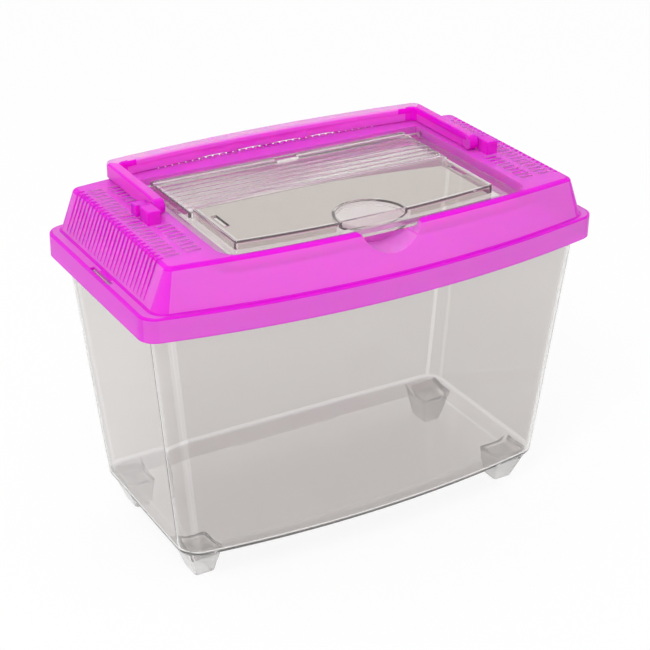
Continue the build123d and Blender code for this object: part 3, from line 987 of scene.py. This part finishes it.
    def _slopes(self, tinted: bpy.types.Material) -> bpy.types.Object:
        """The grooves down both short sides, which turn over the dome's top edge."""
        shell = self.shell
        depth, half = self.slope_depth, self.slope_width / 2
        low = Vector((shell.dome.half, shell.ledge))
        high = Vector((shell.plateau.half, shell.plateau_z))
        along = (high - low).normalized()
        out = Vector((along.y, -along.x))
        start = low + along * 2.5 * MM
        line_x = self.vent_outer[1] + 1.7 * MM
        corner = (high.x - 1.5 * MM, high.y - depth - 0.3 * MM)
        inner_start = start - out * depth
        profile = [
            (inner_start.x, inner_start.y),
            (start.x + 3 * MM, start.y + 1.0 * MM),
            (high.x + 4 * MM, high.y + 3 * MM),
            (line_x, high.y + 3 * MM),
            (line_x, high.y - depth),
            corner,
        ]
        groove = prism_y("groove", profile, -half, half)
        first = -(self.slope_count - 1) / 2 * self.slope_pitch + 1.5 * MM
        row = self.rows.row("slopes", groove, self.slope_count, (0, first, 0), (0, self.slope_pitch, 0), tinted)
        return mirrored(row)

    def _bearing(self) -> list[bpy.types.Object]:
        """The post and the ear that hold the handle's pin on one side."""
        base = self.shell.plateau_z - self.shell.lid_wall / 2
        post = box("post", (110.4 * MM, -9.0 * MM, base), (118.4 * MM, 2.4 * MM, 218.5 * MM))
        ear = box("ear", (110.4 * MM, 5.6 * MM, base), (119.0 * MM, 13.0 * MM, 217.2 * MM))
        pieces = []
        for piece in (post, ear):
            soften(piece, 0.7 * MM, 3)
            pin = drum("pin_space", Vector((115 * MM, self.axis_y, self.axis_z)), "X", self.pin_radius, 14 * MM, 48)
            pieces.append(mirrored(combine(piece, Cut.TAKE, pin)))
        return pieces

    def build(self, tinted: bpy.types.Material) -> bpy.types.Object:
        """Builds the lid as one closed moulding.

        Args:
            tinted: the coloured plastic.

        Returns:
            The lid's object.
        """
        shell = self.shell
        wall = shell.lid_wall
        lid = self._blank()
        skirt = shell.band.inset(wall)
        under = plate("under", skirt, shell.band_low - MM, shell.ledge - wall)
        combine(lid, Cut.TAKE, under, self._hollow())
        top = shell.plateau_z + MM
        opening = self._front_plate(
            "opening", self.opening_half, self.rim_width, self.opening_rear, self.opening_round, self.shelf_z, top
        )
        inset = -shell.plateau.front - self.shelf_front
        way = self._front_plate(
            "way", self.shelf_half, inset, self.opening_rear - 0.01 * MM, 0.0, self.shelf_z - wall - MM, self.shelf_z + MM
        )
        combine(way, Cut.TAKE, self._recess(self.notch_radius + wall, self.notch_back + wall))
        rear = box(
            "rear",
            (-self.opening_half + 0.01 * MM, self.shelf_rear, self.shelf_z - wall - MM),
            (self.opening_half - 0.01 * MM, self.opening_rear - 0.02 * MM, self.shelf_z + MM),
        )
        combine(lid, Cut.TAKE, opening, way, rear, self._notch())
        combine(lid, Cut.TAKE, *self._vents(tinted))
        combine(lid, Cut.TAKE, self._slopes(tinted))
        combine(lid, Cut.ADD, mirrored(self._rod("boss", 50.5 * MM, 206.0 * MM, 4.0 * MM, 101.0 * MM, 105.9 * MM)))
        combine(lid, Cut.TAKE, mirrored(self._rod("socket", 50.5 * MM, 206.0 * MM, 2.06 * MM, 99.0 * MM, 104.2 * MM)))
        combine(lid, Cut.ADD, *self._bearing())
        hole = box("hole", (110.4 * MM, 0.2 * MM, shell.plateau_z - 3 * MM), (118.0 * MM, 7.8 * MM, shell.plateau_z + 0.2 * MM))
        combine(lid, Cut.TAKE, mirrored(hole))
        slot = box("catch_slot", (145.3 * MM, -18.6 * MM, shell.ledge - 3 * MM), (148.2 * MM, 6.5 * MM, shell.ledge + MM))
        combine(lid, Cut.TAKE, mirrored(slot))
        catch = box("catch", (147.55 * MM, -16.6 * MM, shell.rim_step - 2.8 * MM), (149.0 * MM, 4.5 * MM, shell.rim_step - 0.3 * MM))
        combine(lid, Cut.ADD, mirrored(catch))
        soften(lid, 0.3 * MM)
        dress(lid, tinted)
        top = shell.plateau_z - 0.05 * MM
        # Painted shade: a deeper colour on the plateau top, the bearings and the skirt's short ends, held faint on the
        # slope grooves; painted light: a paler colour in the slots and on the finger recess wall.
        mark(lid, "edge", 0.5, 1.0, lambda at: at.z > top)
        mark(lid, "edge", 0.9, 1.0, lambda at: at.z > top + MM)
        mark(lid, "edge", 0.6, 1.0, lambda at: abs(at.x) > 148.5 * MM)
        base = shell.ledge + 2 * MM
        slope = (shell.plateau.half + 0.5 * MM, shell.dome.half)
        mark(lid, "edge", 0.1, 0.15, lambda at: slope[0] < abs(at.x) < slope[1] and abs(at.y) < 58 * MM and at.z > base)
        mark(lid, "edge", 0.0, 0.0, self._in_vent)
        mark(lid, "haze_and_painted_light", 0.4, 0.4, self._in_vent)
        mark(lid, "haze_and_painted_light", 0.15, 0.15, self._in_notch)
        return lid

    def _in_vent(self, at: Vector) -> bool:
        """Whether a face's middle lies on the walls of the slots beside the hatch."""
        top = self.shell.plateau_z
        low, high = self.vent_inner[0] - MM, self.vent_outer[1] + MM
        return low < abs(at.x) < high and abs(at.y) < 60 * MM and top - 2 * MM < at.z < top - 0.05 * MM

    def _in_notch(self, at: Vector) -> bool:
        """Whether a face's middle lies on the wall of the finger recess."""
        away = math.hypot(at.x, at.z - self.notch_z)
        return away < self.notch_radius + 0.05 * MM and at.y < self.notch_back + MM

    @staticmethod
    def _rod(name: str, y: float, z: float, radius: float, low: float, high: float) -> bpy.types.Object:
        """A round bar along X between two places."""
        return drum(name, Vector(((low + high) / 2, y, z)), "X", radius, high - low, 48)


def prism_y(name: str, profile: list[tuple[float, float]], low: float, high: float) -> bpy.types.Object:
    """A profile in X and Z, clockwise seen from the front, drawn out along Y."""
    return loft(name, [[Vector((x, at, z)) for x, z in profile] for at in (low, high)])


@dataclass
class Hatch:
    """The clear hatch: flange, raised window, ribbed rear, thumb hollow, slots and hinge pins."""

    shell: Shell
    rows: RowTree
    wall: float = 1.8 * MM
    low: float = 203.55 * MM
    half: float = 100.3 * MM
    front: float = -66.0 * MM
    rear: float = 54.0 * MM
    flange_top: float = 205.3 * MM
    window_half: float = 86.0 * MM
    window_top: float = 210.4 * MM
    window_corner: float = 50.0 * MM
    window_bow: float = 6.0 * MM
    rib_half: float = 88.7 * MM
    rib_first: float = 4.3 * MM
    rib_pitch: float = 5.7 * MM
    rib_count: int = 9
    rib_rise: float = 1.5 * MM
    thumb_radius: float = 21.0 * MM
    thumb_y: float = -52.5 * MM
    thumb_wall: float = 3.5 * MM
    thumb_depth: float = 8.5 * MM

    def _window(self, by: float) -> Outline:
        """The raised window's outline, moved inwards."""
        arc = (self.window_half**2 + self.window_bow**2) / (2 * self.window_bow)
        front = -self.window_corner - self.window_bow
        outline = Outline(self.window_half, front, arc, self.rib_first, STRAIGHT, 2.2 * MM, 0.4 * MM)
        return outline.inset(by)

    def _rib(self) -> bpy.types.Object:
        """One convex rib about the origin, along X, with its ends rolled down."""
        half_width = self.rib_pitch / 2 - 0.05 * MM
        radius = (half_width**2 + self.rib_rise**2) / (2 * self.rib_rise)
        swing = math.asin(half_width / radius)
        steps = 10
        ends = [(-1.0, 0.0), (-0.995, 0.45), (-0.985, 0.8), (-0.97, 1.0), (0.97, 1.0), (0.985, 0.8), (0.995, 0.45), (1.0, 0.0)]
        loops = []
        for share, height in ends:
            ring = [Vector((share * self.rib_half, half_width, -self.rib_rise - MM))]
            for step in range(steps + 1):
                angle = swing - 2 * swing * step / steps
                y = radius * math.sin(angle)
                z = (radius * math.cos(angle) - radius + self.rib_rise) * height - self.rib_rise
                ring.append(Vector((share * self.rib_half, y, z)))
            ring.append(Vector((share * self.rib_half, -half_width, -self.rib_rise - MM)))
            loops.append(list(reversed(ring)))
        return loft("rib", loops)

    def _thumb(self, grow: float) -> bpy.types.Object:
        """The round-backed thumb hollow, or its outer wall when grown, cut off at the window's front wall."""
        radius = self.thumb_radius + grow
        depth = self.thumb_depth - self.thumb_wall + grow
        ball = (radius**2 + depth**2) / (2 * depth)
        edge_z = self.window_top - self.thumb_wall
        centre_z = edge_z - depth + ball
        top = self.window_top + (0.0 if grow else 5 * MM)
        steps, sides = 14, 96
        swing = math.asin(radius / ball)
        stations = [(ball * math.sin(swing * (step + 0.3) / steps), -ball * math.cos(swing * (step + 0.3) / steps)) for step in range(steps)]
        stations = [(r, centre_z + z) for r, z in stations]
        stations += [(radius, edge_z), (radius, top)]
        loops = []
        for r, z in stations:
            loops.append([Vector((r * math.cos(a), self.thumb_y + r * math.sin(a), z)) for a in (2 * math.pi * i / sides for i in range(sides))])
        bowl = loft("thumb", loops)
        inner = self.thumb_y - 1.3 * MM
        keep = box("keep", (-0.05, inner - (self.wall if grow else 0.0), 0.15), (0.05, 0.0, 0.26))
        return combine(bowl, Cut.KEEP, keep)

    def build(self, clear: bpy.types.Material) -> bpy.types.Object:
        """Builds the hatch as one closed moulding.

        Args:
            clear: the clear plastic.

        Returns:
            The hatch's object.
        """
        shell = self.shell
        arc = shell.plateau.front_arc - (self.front - shell.plateau.front)
        flange = Outline(self.half, self.front, arc, self.rear, STRAIGHT, 10 * MM, 0.8 * MM)
        hatch = plate("hatch_body", flange, self.low, self.flange_top, 0.5 * MM)
        window = plate("window", self._window(0.0), self.low + 0.01 * MM, self.window_top, 0.7 * MM, 0.3 * MM)
        rib_low = self.rib_first - self.rib_pitch / 2
        rib_rear = rib_low + self.rib_count * self.rib_pitch
        valley = shell.plateau_z - self.rib_rise
        bed = box("bed", (-self.rib_half, rib_low, self.low + 0.02 * MM), (self.rib_half, rib_rear, valley))
        soften(bed, 0.8 * MM, 3)
        rib = self._rib()
        ribs = self.rows.row(
            "ribs", rib, self.rib_count, (0, self.rib_first, shell.plateau_z), (0, self.rib_pitch, 0), clear
        )
        combine(hatch, Cut.ADD, window, bed)
        combine(hatch, Cut.ADD, ribs)
        hollow = plate("hollow", self._window(self.wall), self.low - MM, self.window_top - self.wall, 0.8 * MM)
        under = box(
            "under",
            (-self.rib_half + self.wall, rib_low, self.low - MM),
            (self.rib_half - self.wall, rib_rear - self.wall, valley - self.wall + 0.4 * MM),
        )
        combine(hatch, Cut.TAKE, hollow, under)
        combine(hatch, Cut.ADD, self._thumb(self.wall))
        combine(hatch, Cut.TAKE, self._thumb(0.0))
        side = box("side_slot", (78.2 * MM, -29.0 * MM, 0.2), (81.8 * MM, -12.5 * MM, 0.22))
        combine(hatch, Cut.TAKE, mirrored(side))
        combine(hatch, Cut.TAKE, box("rear_slot", (-7.5 * MM, 45.2 * MM, 0.2), (7.5 * MM, 49.2 * MM, 0.22)))
        pin = drum("pin", Vector((95.95 * MM, 50.5 * MM, 206.0 * MM)), "X", 2.0 * MM, 15.9 * MM, 40, 0.4 * MM)
        combine(hatch, Cut.ADD, mirrored(pin))
        soften(hatch, 0.25 * MM)
        dress(hatch, clear, 40.0, 120.0)
        # Painted highlights: the flange, the ribs and the thumb hollow take the lighter tint.
        mark(hatch, "edge", 0.8, 1.0, lambda at: at.z < self.flange_top + 0.1 * MM)
        mark(hatch, "edge", 0.6, 1.0, lambda at: at.y > rib_low)
        reach = self.thumb_radius + self.wall
        middle = Vector((0.0, self.thumb_y))
        under = self.window_top - 0.3 * MM
        mark(hatch, "edge", 0.8, 1.0, lambda at: (at.xy - middle).length < reach and at.z < under)
        return hatch


@dataclass
class Handle:
    """The tinted handle: two arms, a bowed bar with finger scallops under a flange, hubs and pins."""

    shell: Shell
    axis_y: float = 4.0 * MM
    axis_z: float = 215.5 * MM
    arm_in: float = 103.5 * MM
    arm_out: float = 110.0 * MM
    low: float = 211.2 * MM
    high: float = 220.7 * MM
    bar_back: float = 77.0 * MM
    bar_arc: float = 931.0 * MM
    bar_depth: float = 8.5 * MM
    corner: float = 6.0 * MM
    scallop_pitch: float = 26.0 * MM
    scallop_count: int = 4
    scallop_depth: float = 1.6 * MM
    scallop_top: float = 216.8 * MM
    hub_radius: float = 4.5 * MM
    pin_radius: float = 2.75 * MM
    pin_end: float = 116.5 * MM

    def _side(self, half: float, back: float, arc: float, corner: float) -> list[tuple[float, float]]:
        """One edge of the handle in plan: up an arm, round a corner and along the bar to its middle."""
        arm_steps, corner_steps, bar_steps = 10, 10, 56
        centre_y = back - arc
        knee_x = half - corner
        knee_y = centre_y + math.sqrt((arc - corner) ** 2 - knee_x**2)
        swing = math.asin(knee_x / (arc - corner))
        points = [(half, self.axis_y + (knee_y - self.axis_y) * step / arm_steps) for step in range(arm_steps)]
        for step in range(corner_steps):
            angle = (math.pi / 2 - swing) * step / corner_steps
            points.append((knee_x + corner * math.cos(angle), knee_y + corner * math.sin(angle)))
        for step in range(bar_steps + 1):
            angle = math.pi / 2 - swing + swing * step / bar_steps
            points.append((arc * math.cos(angle), centre_y + arc * math.sin(angle)))
        return points

    def _scallop(self, x: float) -> float:
        """How deep the finger scallops are at a place along the bar."""
        half = self.scallop_pitch / 2
        place = abs(x)
        if place > self.scallop_pitch * self.scallop_count / 2:
            return 0.0
        within = abs((place % self.scallop_pitch) - half)
        radius = (half**2 + self.scallop_depth**2) / (2 * self.scallop_depth)
        return max(0.0, math.sqrt(radius**2 - within**2) - radius + self.scallop_depth)

    def build(self, tinted: bpy.types.Material) -> bpy.types.Object:
        """Builds the handle as one closed moulding.

        Args:
            tinted: the coloured plastic.

        Returns:
            The handle's object.
        """
        outer = self._side(self.arm_out, self.bar_back, self.bar_arc, self.corner)
        inner = self._side(self.arm_in, self.bar_back - self.bar_depth, self.bar_arc - self.bar_depth, self.corner / 2)
        outer += [(-x, y) for x, y in reversed(outer[:-1])]
        inner += [(-x, y) for x, y in reversed(inner[:-1])]
        rings = [self._section(Vector(out), Vector(into)) for out, into in zip(outer, inner)]
        handle = loft("handle_body", [list(reversed(ring)) for ring in rings])
        side = (self.arm_in + self.arm_out) / 2
        hub = drum("hub", Vector((side, self.axis_y, self.axis_z)), "X", self.hub_radius, 6.4 * MM, 48, 0.5 * MM)
        pin_low = self.arm_in + MM
        pin = drum(
            "pin", Vector(((pin_low + self.pin_end) / 2, self.axis_y, self.axis_z)), "X", self.pin_radius,
            self.pin_end - pin_low, 40, 0.4 * MM,
        )
        combine(handle, Cut.ADD, mirrored(hub))
        combine(handle, Cut.ADD, mirrored(pin))
        soften(handle, 0.0)
        dress(handle, tinted)
        # Painted shade: a deeper colour on the arms; painted light: a paler colour on the bar, palest along its top.
        mark(handle, "edge", 0.5, 1.0, lambda at: at.y < 66 * MM)
        mark(handle, "haze_and_painted_light", 0.25, 0.25, lambda at: at.y > 64 * MM)
        mark(handle, "haze_and_painted_light", 0.7, 0.7, lambda at: at.y > 64 * MM and at.z > self.high - 1.5 * MM)
        return handle

    def _section(self, out: Vector, into: Vector) -> list[Vector]:
        """The handle's cross-section between two points of its outer and inner edges in plan.

        Args:
            out: the point on the outer edge.
            into: the point on the inner edge.

        Returns:
            The section's points, from the lower outer edge round over the top to the lower inner edge.
        """
        across = into - out
        width = across.length
        way = across / width
        ramp = 7 * MM
        rise = min(1.0, max(0.0, (out.y - self.axis_y) / ramp))
        hub_top = self.axis_z + self.hub_radius - 0.05 * MM
        top = hub_top + (self.high - hub_top) * rise
        edge = 1.2 * MM
        step_z = self.scallop_top
        step_in = 0.7 * MM + self._scallop((out.x + into.x) / 2) * (1.0 if out.y > 60 * MM else 0.0)
        lower_edge = 0.5 * MM
        profile = [
            (lower_edge, self.low),
            (0.0, self.low + lower_edge),
            (0.0, top - edge),
            (0.3 * edge, top - 0.3 * edge),
            (edge, top),
            (width - edge, top),
            (width - 0.3 * edge, top - 0.3 * edge),
            (width, top - edge),
            (width, step_z + 0.4 * MM),
            (width - 0.2 * MM, step_z),
            (width - step_in, step_z - 0.1 * MM),
            (width - step_in, self.low + lower_edge),
            (width - step_in - lower_edge, self.low),
        ]
        return [Vector((out.x + way.x * u, out.y + way.y * u, z)) for u, z in profile]


# ---- the setting ----


@dataclass(frozen=True)
class Studio:
    """The floor, the light and the camera."""

    eye: tuple[float, float, float] = (-0.4620, -0.7784, 0.5763)
    aim: tuple[float, float, float] = (0.00103, -0.00063, 0.1162)
    roll: float = 0.81
    lens: float = 91.365
    shade_glow: float = 0.6

    def camera(self) -> bpy.types.Object:
        """The camera, where the photograph was taken from."""
        data = bpy.data.cameras.new("camera")
        data.sensor_fit = "HORIZONTAL"
        data.sensor_width = 36.0
        data.lens = self.lens
        data.clip_start = 0.01
        camera = bpy.data.objects.new("camera", data)
        bpy.context.scene.collection.objects.link(camera)
        ahead = (Vector(self.aim) - Vector(self.eye)).normalized()
        right = ahead.cross(Vector((0, 0, 1))).normalized()
        up = right.cross(ahead)
        turn = math.radians(self.roll)
        right_now = right * math.cos(turn) + up * math.sin(turn)
        up_now = up * math.cos(turn) - right * math.sin(turn)
        basis = Matrix((right_now, up_now, -ahead)).transposed().to_4x4()
        camera.matrix_world = Matrix.Translation(Vector(self.eye)) @ basis
        bpy.context.scene.camera = camera
        return camera

    def lamp(self, name: str, place: tuple[float, float, float], size: float, power: float) -> None:
        """One soft square lamp that shines at the object."""
        data = bpy.data.lights.new(name, "AREA")
        data.shape = "SQUARE"
        data.size = size
        data.energy = power
        lamp = bpy.data.objects.new(name, data)
        bpy.context.scene.collection.objects.link(lamp)
        lamp.location = place
        toward = Vector((0.0, 0.0, 0.12)) - Vector(place)
        lamp.rotation_euler = toward.to_track_quat("-Z", "Y").to_euler()

    @staticmethod
    def _seen(nodes, links) -> bpy.types.NodeSocket:
        """1 on camera, glossy and transmitted rays, and 0 on the rest."""
        path = nodes.new("ShaderNodeLightPath")
        first = nodes.new("ShaderNodeMath")
        first.operation = "MAXIMUM"
        links.new(path.outputs["Is Camera Ray"], first.inputs[0])
        links.new(path.outputs["Is Transmission Ray"], first.inputs[1])
        second = nodes.new("ShaderNodeMath")
        second.operation = "MAXIMUM"
        links.new(first.outputs[0], second.inputs[0])
        links.new(path.outputs["Is Glossy Ray"], second.inputs[1])
        return second.outputs[0]

    def world(self, level: float) -> None:
        """White where it is seen, and a plain grey level as light."""
        world = bpy.data.worlds.new("studio")
        bpy.context.scene.world = world
        world.use_nodes = True
        nodes, links = world.node_tree.nodes, world.node_tree.links
        nodes.clear()
        fill = nodes.new("ShaderNodeBackground")
        fill.inputs["Strength"].default_value = level
        white = nodes.new("ShaderNodeBackground")
        white.inputs["Strength"].default_value = 1.0
        for node in (fill, white):
            node.inputs["Color"].default_value = (1.0, 1.0, 1.0, 1.0)
        mix = nodes.new("ShaderNodeMixShader")
        links.new(self._seen(nodes, links), mix.inputs[0])
        links.new(fill.outputs[0], mix.inputs[1])
        links.new(white.outputs[0], mix.inputs[2])
        output = nodes.new("ShaderNodeOutputWorld")
        links.new(mix.outputs[0], output.inputs["Surface"])

    def floor(self) -> None:
        """A wide pale floor that keeps a faint shadow of the object."""
        bm = bmesh.new()
        bmesh.ops.create_grid(bm, x_segments=1, y_segments=1, size=6.0)
        mesh = bpy.data.meshes.new("floor")
        bm.to_mesh(mesh)
        bm.free()
        floor = mesh_object("floor", mesh)
        floor.location.z = -0.0002
        material, nodes, links, shader, output = blank_material("pale_floor")
        shader.inputs["Base Color"].default_value = (0.82, 0.82, 0.82, 1.0)
        shader.inputs["Roughness"].default_value = 0.8
        glow = nodes.new("ShaderNodeEmission")
        glow.inputs["Strength"].default_value = 1.0
        mix = nodes.new("ShaderNodeMixShader")
        path = nodes.new("ShaderNodeLightPath")
        share = nodes.new("ShaderNodeMapRange")
        share.inputs["To Min"].default_value = self.shade_glow
        share.inputs["To Max"].default_value = 0.9
        links.new(path.outputs["Is Camera Ray"], share.inputs["Value"])
        links.new(share.outputs[0], mix.inputs[0])
        links.new(shader.outputs[0], mix.inputs[1])
        links.new(glow.outputs[0], mix.inputs[2])
        links.new(mix.outputs[0], output.inputs["Surface"])
        floor.data.materials.append(material)

    def build(self) -> None:
        """Sets the floor, the world, the lamps and the camera."""
        self.floor()
        self.world(0.95)
        self.lamp("key", (-0.8, -0.7, 1.4), 0.5, 12.0)
        self.camera()
        scene = bpy.context.scene
        scene.view_settings.view_transform = "Standard"
        scene.cycles.max_bounces = 32
        scene.cycles.transmission_bounces = 32
        scene.cycles.glossy_bounces = 8


def main() -> None:
    """Builds the object's four mouldings round the frame, and the studio."""
    logging.basicConfig(level=logging.INFO, format="%(name)s %(message)s")
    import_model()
    shell = Shell()
    rows = RowTree()
    clear = ClearPlastic("clear_styrene").build()
    # The hatch copy has a darker grey body and its own lighter colour for its painted highlights.
    clear_hatch = ClearPlastic(
        "clear_styrene_hatch", tint=(0.68, 0.63, 0.59), painted_light_tint=(0.98, 0.93, 0.95), wave_height=0.0
    ).build()
    tinted = TintedPlastic("tinted_plastic").build()
    tinted_bar = TintedPlastic("tinted_plastic_bar").build()
    plans = (
        (Tank(shell), clear, "tank", "clear_tank"),
        (Lid(shell, rows), tinted, "lid", "tinted_lid"),
        (Hatch(shell, rows), clear_hatch, "hatch", "clear_hatch"),
        (Handle(shell), tinted_bar, "handle", "tinted_handle"),
    )
    for plan, material, node, slot in plans:
        piece = plan.build(material)
        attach(piece, node)
        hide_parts(node)
        log.info("%s: %d faces", piece.name, len(piece.data.polygons))
    Studio().build()


if __name__ == "__main__":
    main()
